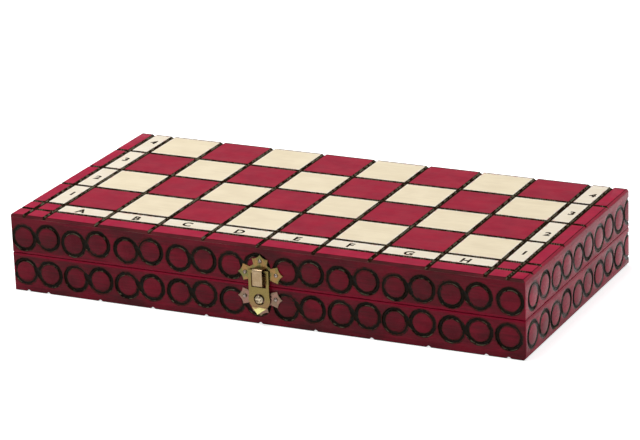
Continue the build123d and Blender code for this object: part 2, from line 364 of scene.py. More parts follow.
    def drop(self) -> None:
        """Throw the piece away."""
        bpy.data.objects.remove(self.solid)

    def twin(self, name: str, by: Point) -> "Piece":
        """Copy the piece with its own mesh, and move the copy.

        Args:
            name: The copy's name.
            by: How far it is moved.

        Returns:
            The copy.
        """
        copy = Piece(bpy.data.objects.new(name, self.solid.data.copy()))
        bpy.context.scene.collection.objects.link(copy.solid)
        copy.move(by)
        return copy

    def carve(self, cutters: Iterable["Piece"], finish: Material) -> None:
        """Take solids away and leave their finish on the cut faces.

        Args:
            cutters: The solids to take away; they are used up.
            finish: The finish of the cut.
        """
        tray = bpy.data.collections.new("cutters")
        for cutter in cutters:
            cutter.solid.data.materials.clear()
            cutter.solid.data.materials.append(finish)
            tray.objects.link(cutter.solid)
        self.modify("BOOLEAN", operation="DIFFERENCE", operand_type="COLLECTION",
                    collection=tray, solver="MANIFOLD", material_mode="TRANSFER")
        for solid in list(tray.objects):
            bpy.data.objects.remove(solid)
        bpy.data.collections.remove(tray)

    def join(self, others: Iterable["Piece"]) -> None:
        """Join other pieces into this one.

        Args:
            others: The pieces; they are used up.
        """
        self.hold()
        for other in others:
            other.solid.select_set(True)
        bpy.ops.object.join()

    def paint(self, choose: Choice, over: Material | None = None) -> None:
        """Give each face the finish that a rule chooses for it.

        Args:
            choose: Gets a face's middle in millimetres and its normal, and returns its
                finish, or None to leave the face as it is.
            over: The finish of the faces that are painted, or None for all of them.
        """
        mesh = self.solid.data
        old = mesh.materials.find(over.name) if over else 0
        for face in [face for face in mesh.polygons if over is None or face.material_index == old]:
            finish = choose(face.center / MM, face.normal)
            if finish is None:
                continue
            if finish.name not in mesh.materials:
                mesh.materials.append(finish)
            face.material_index = mesh.materials.find(finish.name)

    def coat(self, finish: Material) -> None:
        """Give the whole piece one finish."""
        self.paint(lambda middle, normal: finish)

    def finish(self, body: str, slot: str, *nodes: str, smooth: float = 35.0) -> None:
        """Shade the piece, hang it on its body and let it stand for its nodes.

        Args:
            body: The body that it rides on.
            slot: The record's material slot; not used.
            nodes: The frame's nodes that it stands for.
            smooth: Edges sharper than this many degrees stay sharp.
        """
        self.hold()
        bpy.ops.object.shade_smooth_by_angle(angle=math.radians(smooth))
        self.clear()
        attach(self.solid, body)
        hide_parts(*nodes)
        log.info("%s: %d faces", self.solid.name, len(self.solid.data.polygons))


class Graph:
    """The node tree of one finish, put together a node at a time."""

    def __init__(self, name: str) -> None:
        """Start a finish with its shader.

        Args:
            name: The finish's name.
        """
        self.material = bpy.data.materials.new(name)
        self.material.use_nodes = True
        self.nodes = self.material.node_tree.nodes
        self.links = self.material.node_tree.links
        self.shader = self.nodes["Principled BSDF"]

    def add(self, kind: str, inputs: dict, out: int = 0, **settings: object) -> Socket:
        """Add a node.

        Args:
            kind: The node's type after ShaderNode.
            inputs: Values or sockets by input name or number.
            out: The number of the output wanted.
            settings: The node's own settings.

        Returns:
            The output socket.
        """
        node = self.nodes.new(f"ShaderNode{kind}")
        for key, value in settings.items():
            setattr(node, key, value)
        for key, value in inputs.items():
            self.feed(node.inputs[key], value)
        return node.outputs[out]

    def feed(self, socket: Socket, value: object) -> None:
        """Link a socket to another one, or set it to a value.

        Args:
            socket: The input socket.
            value: The output socket to link, or a value.
        """
        if isinstance(value, Socket):
            self.links.new(value, socket)
        elif isinstance(value, tuple) and len(value) == 3 and socket.type == "RGBA":
            socket.default_value = (*value, 1.0)
        else:
            socket.default_value = value

    def place(self) -> Socket:
        """Object coordinates in metres."""
        return self.add("TexCoord", {}, out=3)

    def axis(self, index: int) -> Socket:
        """One of the object coordinates, in millimetres."""
        split = self.add("SeparateXYZ", {0: self.place()}, out=index)
        return self.maths("MULTIPLY", split, 1 / MM)

    def maths(self, operation: str, first: object, second: object = 0.0) -> Socket:
        """One sum of two numbers or sockets."""
        return self.add("Math", {0: first, 1: second}, operation=operation)

    def weigh(self, first: Socket, second: Socket, share: float) -> Socket:
        """A share of one pattern and the rest of another."""
        return self.maths("ADD", self.maths("MULTIPLY", first, share),
                          self.maths("MULTIPLY", second, 1 - share))

    def stir(self, value: Socket, noise: Socket, height: float) -> Socket:
        """A value that noise of that height makes uneven."""
        wave = self.maths("MULTIPLY", self.maths("SUBTRACT", noise, 0.5), height)
        return self.maths("ADD", value, wave)

    def cloud(self, pitch: Point | float, detail: float = 3.0, rough: float = 0.55) -> Socket:
        """Noise in the wood or the metal.

        Args:
            pitch: The size of its grain in millimetres, along each axis or the same along all.
            detail: How many finer layers it has.
            rough: How strong they are.

        Returns:
            The noise.
        """
        pitches = pitch if isinstance(pitch, tuple) else (pitch,) * 3
        seat = self.add("Mapping", {"Vector": self.place(), "Scale": tuple(1000.0 / p for p in pitches)})
        return self.add("TexNoise", {"Vector": seat, "Scale": 1.0, "Detail": detail, "Roughness": rough})

    def span(self, value: object, low: float, high: float, bottom: float = 0.0,
             top: float = 1.0) -> Socket:
        """Map a value from one span to another with soft ends."""
        inputs = {"Value": value, "From Min": low, "From Max": high, "To Min": bottom, "To Max": top}
        return self.add("MapRange", inputs, interpolation_type="SMOOTHSTEP")

    def mix(self, share: object, first: object, second: object) -> Socket:
        """Mix two colours."""
        return self.add("Mix", {0: share, 6: first, 7: second}, out=2, data_type="RGBA")

    def near_row(self, axis: int, first: float, step: float) -> Socket:
        """Distance to the nearest of a row of places, in millimetres."""
        return self.maths("PINGPONG", self.maths("SUBTRACT", self.axis(axis), first), step / 2)

    def near_line(self, axis: int, place: float) -> Socket:
        """Distance to one place, in millimetres."""
        return self.maths("ABSOLUTE", self.maths("SUBTRACT", self.axis(axis), place))

    def relief(self, height: object, depth: float) -> None:
        """Let a height pattern roughen the surface by that depth in millimetres."""
        bump = self.add("Bump", {"Height": height, "Distance": depth * MM, "Strength": 1.0})
        self.feed(self.shader.inputs["Normal"], bump)

    def settle(self, colour: object, rough: object, **constants: object) -> Material:
        """Feed the shader and return the finish.

        Args:
            colour: The base colour.
            rough: The roughness.
            constants: Other shader inputs, with _ for a blank in their names.

        Returns:
            The finished material.
        """
        self.feed(self.shader.inputs["Base Color"], colour)
        self.feed(self.shader.inputs["Roughness"], rough)
        for key, value in constants.items():
            self.feed(self.shader.inputs[key.replace("_", " ")], value)
        return self.material


@dataclass(frozen=True)
class BoardLines:
    """Where the straight burnt grooves run on a board."""

    left: float = -165.1
    first_file: float = -150.75
    right: float = 163.95
    front: float = -74.2
    first_rank: float = -60.35
    file: float = 37.54
    rank: float = 37.03

    @property
    def across(self) -> list[float]:
        """X of the grooves that run along Y."""
        return [self.left, *(self.first_file + self.file * n for n in range(9)), self.right]

    @property
    def along(self) -> list[float]:
        """Y of the grooves that run along X."""
        return [self.front, *(self.first_rank + self.rank * n for n in range(4))]


LINES = BoardLines()
RING_HEIGHT = {Half.BASE: 13.5, Half.LID: 36.5}


@dataclass(frozen=True)
class RingRow:
    """A row of burnt rings in pairs: each one strays a little from even steps."""

    first: float
    step: float
    gap: float
    wobble: dict[Half, tuple[Spot, ...]]
    radius: float = 7.8
    lift: float = 0.5

    def places(self, half: Half) -> list[Vector]:
        """Each ring's centre: its distance from the end of the wall and its height."""
        return [
            Vector((self.first + self.step * (n // 2) + self.gap * (n % 2) + along,
                    RING_HEIGHT[half] + (self.lift if n % 2 else -self.lift) + up, 0))
            for n, (along, up) in enumerate(self.wobble[half])
        ]

    def stroke(self, left: Vector, right: Vector) -> tuple[Vector, Vector]:
        """The straight stroke that joins a pair of rings, as a line that touches both.

        Args:
            left: The centre of the left ring.
            right: The centre of the right ring.

        Returns:
            The stroke's upper end and its lower end.
        """
        across = right - left
        angle = math.atan2(across.y, across.x) + math.acos(min(0.98, 2 * self.radius / across.length))
        reach = Vector((math.cos(angle), math.sin(angle), 0)) * self.radius
        return left + reach, right - reach


FRONT_ROW = RingRow(9.6, 36.75, 17.5, {
    Half.LID: ((-0.5, 0.2), (-0.5, 0.8), (-1.4, 0.2), (-1.5, 1.0), (-0.5, 0.7), (-0.8, 1.0), (-0.4, 0.3),
               (-0.4, 0.2), (-0.7, 0.3), (-0.5, 0.3), (-0.2, 0.5), (-0.7, 0.4), (-1.0, -0.1), (-0.5, 0.2),
               (-0.9, -0.1), (-0.7, 0.1), (-1.2, 0.1), (-0.7, 0.1), (0.2, 0.7)),
    Half.BASE: ((-0.7, 0.6), (-0.5, -0.5), (-0.9, 0.2), (-0.7, -0.2), (-1.0, 0.3), (-0.8, 0.2), (-0.7, 0.7),
                (-0.9, 0.7), (-0.7, 0.2), (-0.6, 0.0), (-0.7, 0.4), (-0.3, 0.2), (-0.5, 0.9), (-0.2, 0.8),
                (-1.2, 0.9), (-0.9, 1.2), (-1.0, 0.8), (-0.7, 0.9), (-0.9, 1.1)),
})
SIDE_ROW = RingRow(11.8, 36.5, 17.4, {
    Half.LID: ((1.5, 0.7), (2.4, 0.3), (2.8, -0.1), (2.7, -0.1), (1.9, -0.5), (1.8, -0.3), (1.4, 0.0),
               (0.7, -0.1), (0.3, 0.1), (-0.1, -0.4)),
    Half.BASE: ((-0.4, 0.2), (1.0, -0.8), (0.2, -1.1), (0.1, -0.7), (0.7, -1.1), (0.6, -0.7), (0.7, -0.5),
                (0.6, 0.0), (-0.4, -0.5), (-0.8, -0.7)),
})


@dataclass(frozen=True)
class Lacquer:
    """Clear lacquer over stained or natural wood, scorched along the burnt lines."""

    name: str
    colour: Colour
    shade: Colour
    scorch: Colour = (0.045, 0.022, 0.014)
    grain: Point | float = (26.0, 1.1, 1.1)
    patch: Point | float = (17.0, 13.0, 13.0)
    rough: float = 0.34
    shine: float = 0.22
    bleed: Colour | None = None
    lip_painted_highlight: Colour | None = None
    smoke: float = 0.0
    lined: bool = False
    # Colour of a painted highlight along the line where the two trays meet.
    seam_painted_highlight: Colour | None = None

    def _scorched(self, graph: Graph, colour: Socket) -> Socket:
        """Scorch the wood beside the board's lines, where stain bled, with a pale painted highlight on the
        lacquer's raised ridge along them.

        Args:
            graph: The finish's graph.
            colour: The wood's colour.

        Returns:
            The colour with what lies beside the lines.
        """
        nearest = graph.near_row(0, LINES.first_file, LINES.file)
        for run in (graph.near_row(1, LINES.first_rank, LINES.rank), graph.near_line(0, LINES.left),
                    graph.near_line(0, LINES.right), graph.near_line(1, LINES.front)):
            nearest = graph.maths("MINIMUM", nearest, run)
        ragged = graph.stir(nearest, graph.cloud(0.8, 2.0), 1.2)
        # The first tint is stain bled into the wood; the second is a painted highlight on the lacquer's
        # raised ridge beside each line.
        for tint, reach, pitch, share in ((self.bleed, (1.8, 2.9), 5.0, (0.52, 0.66)),
                                          (self.lip_painted_highlight, (2.0, 2.8), 1.5, (0.44, 0.58))):
            if tint:
                here = graph.maths("MULTIPLY", graph.span(ragged, *reach, 1.0, 0.0),
                                   graph.span(graph.cloud(pitch, 1.0), *share))
                colour = graph.mix(here, colour, tint)
        return graph.mix(graph.span(ragged, 1.15, 2.0, 0.9, 0.0), colour, self.scorch)

    def material(self) -> Material:
        """Build the finish."""
        graph = Graph(self.name)
        streak = graph.cloud(self.grain, 4.0, 0.6)
        tone = graph.weigh(streak, graph.cloud(self.patch, 2.0), 0.45)
        colour = graph.mix(graph.span(tone, 0.36, 0.64), self.shade, self.colour)
        if self.smoke:
            haze = graph.cloud((34.0, 34.0, 16.0), 2.0)
            colour = graph.mix(graph.span(haze, 0.42, 0.7, 0.0, self.smoke), colour, self.scorch)
        # A brighter crimson band painted where the trays meet: a painted highlight where the eased rims
        # catch the light.
        if self.seam_painted_highlight:
            seam_highlight_share = graph.span(graph.near_line(2, HEIGHT / 2), 1.1, 2.0, 1.0, 0.0)
            colour = graph.mix(seam_highlight_share, colour, self.seam_painted_highlight)
        if self.lined:
            colour = self._scorched(graph, colour)
        rough = graph.span(graph.cloud(9.0), 0.3, 0.7, self.rough - 0.06, self.rough + 0.06)
        graph.relief(streak, 0.03)
        return graph.settle(colour, rough, Specular_IOR_Level=self.shine)


@dataclass(frozen=True)
class Burnt:
    """Charred wood in a burnt groove, under the lacquer, with pale painted highlights broken up by noise."""

    name: str
    colour: Colour = (0.009, 0.007, 0.004)
    ember: Colour = (0.024, 0.013, 0.006)
    painted_highlight_colour: Colour = (0.22, 0.20, 0.13)
    painted_highlight_share: float = 0.0
    shine: float = 0.06

    def material(self) -> Material:
        """Build the finish."""
        graph = Graph(self.name)
        colour = graph.mix(graph.span(graph.cloud(1.6), 0.4, 0.65), self.colour, self.ember)
        # Pale painted highlight, broken up by noise, standing in for light caught in the glossy groove.
        if self.painted_highlight_share:
            painted_highlight_mask = graph.span(graph.cloud(3.4, 2.0), 0.44, 0.58, 0.0, self.painted_highlight_share)
            colour = graph.mix(painted_highlight_mask, colour, self.painted_highlight_colour)
        graph.relief(graph.cloud(0.9, 2.0), 0.04)
        rough = graph.span(graph.cloud(3.5, 2.0), 0.38, 0.6, 0.18, 0.5)
        return graph.settle(colour, rough, Specular_IOR_Level=self.shine)


@dataclass(frozen=True)
class BareWood:
    """Smooth unstained lime wood."""

    name: str
    grain: Point
    colour: Colour = (0.66, 0.47, 0.28)
    shade: Colour = (0.50, 0.33, 0.18)

    def material(self) -> Material:
        """Build the finish."""
        graph = Graph(self.name)
        streak = graph.cloud(self.grain, 5.0, 0.65)
        colour = graph.mix(graph.span(streak, 0.35, 0.65), self.shade, self.colour)
        graph.relief(streak, 0.05)
        return graph.settle(colour, 0.62, Specular_IOR_Level=0.3)


@dataclass(frozen=True)
class Felt:
    """Thin green craft felt."""

    name: str = "green_felt"
    colour: Colour = (0.018, 0.105, 0.048)
    shade: Colour = (0.010, 0.062, 0.028)

    def material(self) -> Material:
        """Build the finish."""
        graph = Graph(self.name)
        fibre = graph.cloud((0.7, 0.5, 0.5), 4.0, 0.7)
        tone = graph.weigh(fibre, graph.cloud((14.0, 9.0, 9.0), 2.0), 0.6)
        colour = graph.mix(graph.span(tone, 0.38, 0.62), self.shade, self.colour)
        graph.relief(fibre, 0.25)
        return graph.settle(colour, 0.95, Specular_IOR_Level=0.1, Sheen_Weight=0.35, Sheen_Roughness=0.5)


@dataclass(frozen=True)
class Metal:
    """Plated or plain sheet metal whose colour drifts between tints: partly a passivated tint, partly
    painted reflection of the surroundings.
    """

    name: str
    colour: Colour
    tint: Colour
    drift: float = 6.0
    rough: float = 0.3
    fade: Spot | None = None

    def material(self) -> Material:
        """Build the finish."""
        graph = Graph(self.name)
        wash = graph.cloud(self.drift, 2.0)
        share = graph.span(wash, 0.4, 0.62)
        # A fade runs the colour from one tint to the other with height; on the finger tab it is a painted
        # highlight, bright towards the tip.
        if self.fade:
            share = graph.span(graph.stir(graph.axis(2), wash, 6.0), *self.fade)
        colour = graph.mix(share, self.colour, self.tint)
        rough = graph.span(graph.cloud(0.9, 4.0), 0.3, 0.7, self.rough - 0.08, self.rough + 0.12)
        graph.relief(graph.cloud((0.35, 0.35, 1.6)), 0.015)
        return graph.settle(colour, rough, Metallic=1.0)


def made(recipe: Lacquer | Burnt | BareWood | Felt | Metal) -> Material:
    """A dataclass field that holds the recipe's finish."""
    return field(default_factory=recipe.material)


CREAM: dict[str, object] = {"scorch": (0.12, 0.06, 0.03), "lined": True, "shine": 0.02,
                            "bleed": (0.80, 0.42, 0.36), "lip_painted_highlight": (1.0, 0.95, 0.86)}
WALL_PATCH = (24.0, 24.0, 11.0)


@dataclass
class Finishes:
    """Every finish of the box, made once."""

    red: Material = made(Lacquer("red_squares", (0.375, 0.012, 0.038), (0.30, 0.010, 0.034), lined=True,
                                 shine=0.015))
    cream: Material = made(Lacquer("cream_squares", (0.92, 0.80, 0.58), (0.85, 0.73, 0.52), **CREAM))
    label: Material = made(Lacquer("cream_strips", (0.93, 0.84, 0.69), (0.87, 0.77, 0.60), **CREAM))
    margin: Material = made(Lacquer("red_margins", (0.44, 0.009, 0.046), (0.34, 0.008, 0.040), lined=True,
                                    shine=0.015))
    # Front and side walls carry one stain: the front copy is painted darker (painted shade) and the side
    # copy lighter (painted light).
    front: Material = made(Lacquer(
        "red_front_walls_painted_shade", (0.375, 0.016, 0.042), (0.19, 0.012, 0.026), scorch=(0.030, 0.020, 0.014),
        patch=WALL_PATCH, smoke=0.4, rough=0.24, shine=0.08, seam_painted_highlight=(0.40, 0.008, 0.040)))
    side: Material = made(Lacquer(
        "red_side_walls_painted_light", (0.60, 0.030, 0.078), (0.38, 0.026, 0.056), scorch=(0.050, 0.022, 0.020),
        grain=(1.1, 26.0, 1.1), patch=WALL_PATCH, smoke=0.26, rough=0.24, shine=0.052,
        seam_painted_highlight=(0.46, 0.008, 0.044)))
    back: Material = made(Lacquer("red_back_walls", (0.40, 0.017, 0.045), (0.23, 0.015, 0.030), smoke=0.3,
                                  rough=0.24, shine=0.08, seam_painted_highlight=(0.40, 0.008, 0.040)))
    singed: Material = made(Lacquer("singed_rings", (0.19, 0.020, 0.026), (0.030, 0.018, 0.012), grain=1.6,
                                    patch=3.5, rough=0.3, shine=0.06))
    # Chamfer finishes: the dull edge is painted shade and the pale edge line below it a painted highlight;
    # the scorched edge is a dark band, on the lower board painted shade against the floor.
    edge: Material = made(Lacquer("dull_edges_painted_shade", (0.17, 0.020, 0.030), (0.085, 0.014, 0.018), smoke=0.4,
                                  rough=0.3, shine=0.02))
    edge_painted_highlight: Material = made(Lacquer("edge_painted_highlight_line", (0.46, 0.26, 0.22), (0.14, 0.035, 0.035), rough=0.3,
                                  shine=0.1))
    scorched: Material = made(Lacquer("scorched_edges_and_painted_shade", (0.10, 0.016, 0.018), (0.022, 0.010, 0.010),
                                      rough=0.5, shine=0.0))
    # Crimson painted highlight for the eased rims and side chamfers that catch the light.
    rim: Material = made(Lacquer("crimson_rims_painted_highlight", (0.42, 0.008, 0.042), (0.33, 0.007, 0.034), rough=0.4,
                                 shine=0.1))
    charred: Material = made(Burnt("charred_line", (0.012, 0.007, 0.003), (0.042, 0.020, 0.009),
                                   shine=0.005))
    # Charred line with painted highlights, for groove faces that look to the right.
    char_painted_highlights: Material = made(Burnt("charred_line_painted_highlights", (0.013, 0.008, 0.004), (0.042, 0.020, 0.009),
                                 painted_highlight_share=0.8, shine=0.01))
    burnt: Material = made(Burnt("burnt_groove"))
    # Burnt groove with painted highlights, for groove faces that look up.
    groove_painted_highlights: Material = made(Burnt("burnt_groove_painted_highlights", painted_highlight_share=0.8))
    wood_along: Material = made(BareWood("lime_wood_along", (24.0, 1.0, 1.0)))
    wood_across: Material = made(BareWood("lime_wood_across", (1.0, 24.0, 1.0)))
    felt: Material = made(Felt())
    brass: Material = made(Metal("yellow_brass", (0.165, 0.125, 0.044), (0.185, 0.115, 0.054), 5.0,
                                 fade=(19.0, 12.5)))
    lobes: Material = made(Metal("tinted_brass", (0.22, 0.125, 0.048), (0.125, 0.115, 0.042), 4.4))
    tongue: Material = made(Metal("tan_brass", (0.30, 0.22, 0.135), (0.25, 0.175, 0.098), 5.0))
    # Finger tab: bright yellow fading darker towards the bend, a painted highlight where the bent tab faces
    # the top lamp.
    tab: Material = made(Metal("bright_brass_painted_highlight", (0.80, 0.74, 0.30), (0.36, 0.20, 0.10), 5.0, 0.25,
                               (10.4, 12.4)))
    pink: Material = made(Metal("pinkish_brass", (0.205, 0.112, 0.088), (0.155, 0.108, 0.072), 4.0))
    # Dome: strong light and dark patches at a fine pitch, painted highlights and painted dark reflections.
    dome: Material = made(Metal("rivet_painted_reflections", (0.42, 0.36, 0.25), (0.11, 0.08, 0.045), 1.7, 0.18))
    steel: Material = made(Metal("bright_steel", (0.27, 0.22, 0.19), (0.11, 0.08, 0.065), 0.9, 0.22))
    # Almost black brass for the sides of nail heads and the dome's stem: a painted shadow ring.
    painted_shadow_ring: Material = made(Metal("shadow_ring_brass", (0.055, 0.042, 0.022), (0.09, 0.065, 0.03), 2.0, 0.5))
    hinge: Material = made(Metal("hinge_brass", (0.58, 0.44, 0.19), (0.50, 0.36, 0.15), 9.0, 0.34))


def stride(x_way: bool, length: float) -> Point:
    """A step along X, or else along Y."""
    return (length, 0, 0) if x_way else (0, length, 0)


@dataclass
class Chessboard:
    """The outside of one tray: a half board, burnt with beaded grooves, files and ranks."""

    half: Half
    finishes: Finishes
    ranks: str
    corner: float = 0.8
    chamfer: float = 1.5
    sharp: float = 0.4
    softened: float = 0.22
    level_face: float = 0.98
    lit_side: float = 0.5
    file_bead: Spot = (1.5, 2.0)
    rank_bead: Spot = (1.25, 1.75)
    file_pitch: float = 1.7
    rank_pitch: float = 1.6
    proud: float = 0.48
    past: float = 4.0
    gap: float = 0.001
    letter_size: float = 9.0
    digit_size: float = 8.6
    mark_bold: float = 0.34
    mark_sink: float = 0.22
    letter_drift: tuple[float, ...] = (-2.8, -0.3, -2.4, -2.9, -1.1, -3.1, -1.4, -1.7)
    letter_drop: tuple[float, ...] = (0.8, 1.3, 0.4, 1.4, 1.1, 0.6, 1.2, 1.2)
    left_drift: tuple[Spot, ...] = ((0.8, 2.0), (0.4, -1.0), (-0.1, 1.1), (0.4, 2.3))
    right_drift: tuple[Spot, ...] = ((0.4, -2.6), (1.1, -3.8), (1.3, -0.5), (1.5, -1.7))

    def panel(self) -> Piece:
        """The bare panel, with round corners and a chamfer round its face."""
        face, inside = self.half.level(0.0), self.half.level(PANEL)
        board = Piece.block(f"{self.half.value}_chessboard", (-LENGTH / 2, -DEPTH / 2, face),
                            (LENGTH / 2, DEPTH / 2, inside))
        board.bevel(upright, self.corner, CORNER_STEPS)
        front = self.chamfer if self.half is Half.LID else self.sharp
        for x, y, width in ((0, -1, front), (1, 0, self.chamfer), (-1, 0, self.sharp), (0, 1, self.sharp)):
            board.slice((x * (LENGTH / 2 - width), y * (DEPTH / 2 - width), face),
                        (x, y, self.half.outwards))
        board.bevel(lambda middle, run: abs(run.z) < LYING and abs(middle.z - inside) > SAME_PLACE,
                    self.softened, 2)
        return board

    def bead_row(self, x_way: bool, pitch: float, thin: float, thick: float) -> Piece:
        """A tool as long as the board whose beads burn the dots of one groove.

        Args:
            x_way: Whether it runs along X instead of Y.
            pitch: The length of a bead.
            thin: Its radius at its ends.
            thick: Its radius in its middle.

        Returns:
            The tool, through the origin.
        """
        bead = Piece.tube("bead", thin, pitch, (0, 90, 0) if x_way else (90, 0, 0))
        bead.pick("FACE")
        bpy.ops.mesh.bisect(plane_co=(0, 0, 0), plane_no=stride(x_way, 1))
        swell = thick / thin
        bpy.ops.transform.resize(value=(1, swell, swell) if x_way else (swell, 1, swell),
                                 center_override=(0, 0, 0))
        Piece.clear()
        count = round(((LENGTH if x_way else DEPTH) + self.past) / pitch)
        bead.modify("ARRAY", count=count, use_relative_offset=False, use_constant_offset=True,
                    constant_offset_displace=stride(x_way, pitch * MM), use_merge_vertices=True,
                    merge_threshold=self.gap * MM)
        bead.cap()
        bead.move(stride(x_way, -(count - 1) * pitch / 2))
        return bead

    def grooves(self) -> list[Piece]:
        """The beaded tools for every straight groove, in place on the board's face."""
        level = self.half.level(0.0) + self.proud * self.half.outwards
        tools = []
        for x_way, places, pitch, bead in ((False, LINES.across, self.file_pitch, self.file_bead),
                                           (True, LINES.along, self.rank_pitch, self.rank_bead)):
            model = self.bead_row(x_way, pitch, *bead)
            for place in places:
                tools.append(model.twin("groove", (0, place, level) if x_way else (place, 0, level)))
            model.drop()
        return tools

    def marks(self) -> list[Piece]:
        """The stamps of the file letters and the rank digits."""
        turn = (0, 180, 0) if self.half is Half.BASE else (0, 0, 0)
        strip = (LINES.front + LINES.first_rank) / 2
        spots = [
            (letter, LINES.first_file + LINES.file * (n + 0.5) + self.letter_drift[n],
             strip - self.letter_drop[n], self.letter_size)
            for n, letter in enumerate("ABCDEFGH")
        ]
        edges = [*LINES.along[1:], DEPTH / 2]
        for n, digit in enumerate(self.ranks):
            middle = (edges[n] + edges[n + 1]) / 2
            for strip, drift in (((LINES.left + LINES.first_file) / 2, self.left_drift[n]),
                                 ((LINES.across[-2] + LINES.right) / 2, self.right_drift[n])):
                spots.append((digit, strip + drift[0], middle + drift[1], self.digit_size))
        stamps = []
        for letter, x, y, size in spots:
            stamp = Piece.mark("stamp", letter, size, self.mark_bold, self.mark_sink, turn)
            stamp.move((x, y, self.half.level(0.0)))
            stamps.append(stamp)
        return stamps

    def border(self, out: float, aside: bool) -> Material:
        """The finish of a face beside the board's top, by how far it looks outwards.

        Args:
            out: The outward part of its normal.
            aside: Whether it looks to a side instead of the front or the back.

        Returns:
            A dark band, a dull band of painted shade, a pale painted highlight line, a crimson painted
            highlight, a wall or bare wood.
        """
        # Chamfer bands by how far each face looks out. On the lid's front: dark at the top, a dull band of
        # painted shade, then a pale painted highlight line below. To the lid's sides: dark at the top, then
        # the crimson painted highlight. On the lower board every chamfer face is dark: painted shade where
        # it meets the floor.
        band = [(0.8, self.finishes.scorched), (0.6, self.finishes.edge), (0.1, self.finishes.edge_painted_highlight)]
        if self.half is Half.BASE:
            band = [(0.1, self.finishes.scorched)]
        elif aside:
            band = [(0.8, self.finishes.scorched), (0.1, self.finishes.rim)]
        walls = self.finishes.side if aside else self.finishes.front
        for least, finish in (*band, (-0.9, walls)):
            if out > least:
                return finish
        return self.finishes.wood_along

    def tile(self, middle: Vector, normal: Vector) -> Material:
        """The finish of a face of the board by its place.

        Args:
            middle: The face's middle.
            normal: Its normal.

        Returns:
            The finish of the cell that it lies in.
        """
        out = normal.z * self.half.outwards
        if out < self.level_face:
            return self.border(out, abs(normal.x) > abs(normal.y))
        file = math.floor((middle.x - LINES.first_file) / LINES.file)
        rank = math.floor((middle.y - LINES.first_rank) / LINES.rank)
        if 0 <= file < 8 and rank >= 0:
            dark = (file + rank + int(self.ranks[0]) - 1) % 2 == 0
            return self.finishes.red if dark else self.finishes.cream
        in_strip_x = LINES.left < middle.x < LINES.right
        if 0 <= file < 8 and middle.y > LINES.front or rank >= 0 and in_strip_x:
            return self.finishes.label
        return self.finishes.margin

    def build(self) -> None:
        """Make the board, burn it, stain it and paint highlights on the charred faces that look to the
        right.
        """
        board = self.panel()
        board.coat(self.finishes.red)
        board.carve(self.grooves() + self.marks(), self.finishes.charred)
        board.paint(self.tile, over=self.finishes.red)
        # Painted highlight on the charred groove faces that look to the right.
        board.paint(lambda middle, normal: self.finishes.char_painted_highlights if normal.x > self.lit_side else None,
                    over=self.finishes.charred)
        board.finish(self.half.body, "stained_board", f"{self.half.value}_board")


def stained(half: Half, way: Spot, finishes: Finishes, outside: Material, inside: Material) -> Choice:
    """The rule that finishes a wall: stain outside, a crimson painted highlight round the rim and bare wood
    inside.

    Args:
        half: The wall's tray.
        way: The way that the wall looks.
        finishes: The finishes of the box.
        outside: The wall's stain.
        inside: Its bare wood.

    Returns:
        The rule.
    """
    def choose(middle: Vector, normal: Vector) -> Material:
        """Tell by the face's place and normal."""
        if normal.x * way[0] + normal.y * way[1] < -FACING:
            return inside
        # Faces of the eased rim get the crimson painted highlight.
        return finishes.rim if abs(middle.z - half.level(RIM)) < RIM_BAND else outside

    return choose


